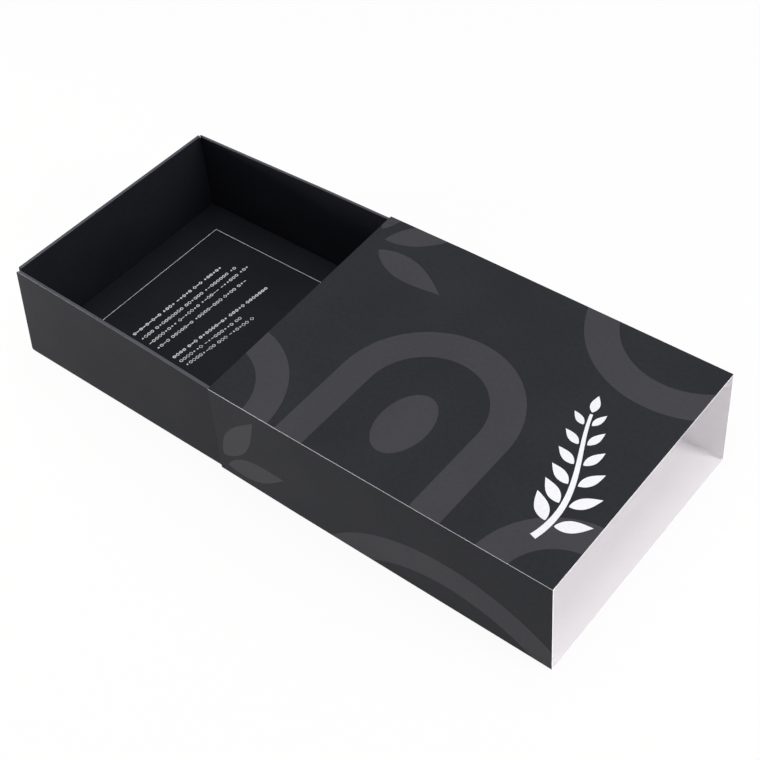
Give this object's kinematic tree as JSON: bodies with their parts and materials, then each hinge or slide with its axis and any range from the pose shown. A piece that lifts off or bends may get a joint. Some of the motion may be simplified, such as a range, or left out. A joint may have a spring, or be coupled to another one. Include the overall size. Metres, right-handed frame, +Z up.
{
  "type": "sliding drawer gift box",
  "caption": "Long black card gift box: a tray with rolled double walls and a raised printed floor slides out of an open-ended sleeve that is white inside.",
  "frame": {"origin": "middle of the footprint of the whole object, drawer pulled out, on the surface that the sleeve lies on", "axes": "+X along the slide, away from the drawer's pull end, so the drawer opens towards -X; -Y is the front side; +Z up"},
  "size_m": [0.3496, 0.15, 0.0615],
  "materials": {
    "sleeve_board": "matte",
    "tray_board": "matte",
    "platform_board": "matte"
  },
  "bodies": {
    "sleeve": {"sleeve_glue_flap": "sleeve_board", "sleeve_front_panel": "sleeve_board", "sleeve_bottom_panel": "sleeve_board", "sleeve_back_panel": "sleeve_board", "sleeve_top_panel": "sleeve_board"},
    "drawer": {"tray_floor": "tray_board", "tray_front_outer_wall": "tray_board", "tray_front_rim": "tray_board", "tray_front_inner_wall": "tray_board", "tray_front_tuck_flap": "tray_board", "tray_inner_end_outer_wall": "tray_board", "tray_inner_end_rim": "tray_board", "tray_inner_end_inner_wall": "tray_board", "tray_inner_end_tuck_flap": "tray_board", "tray_back_outer_wall": "tray_board", "tray_back_rim": "tray_board", "tray_back_inner_wall": "tray_board", "tray_back_tuck_flap": "tray_board", "tray_pull_end_outer_wall": "tray_board", "tray_pull_end_rim": "tray_board", "tray_pull_end_inner_wall": "tray_board", "tray_pull_end_tuck_flap": "tray_board", "tray_corner_tab_front_pull": "tray_board", "tray_corner_tab_front_inner": "tray_board", "tray_corner_tab_back_pull": "tray_board", "tray_corner_tab_back_inner": "tray_board", "platform_panel": "platform_board", "platform_leg_front": "platform_board", "platform_leg_inner_end": "platform_board", "platform_leg_back": "platform_board", "platform_leg_pull_end": "platform_board"}
  },
  "joints": [
    {"name": "drawer_slide", "type": "slide", "parent": "sleeve", "child": "drawer", "axis": [-1, 0, 0], "range_m": [-0.147, 0.044]}
  ]
}
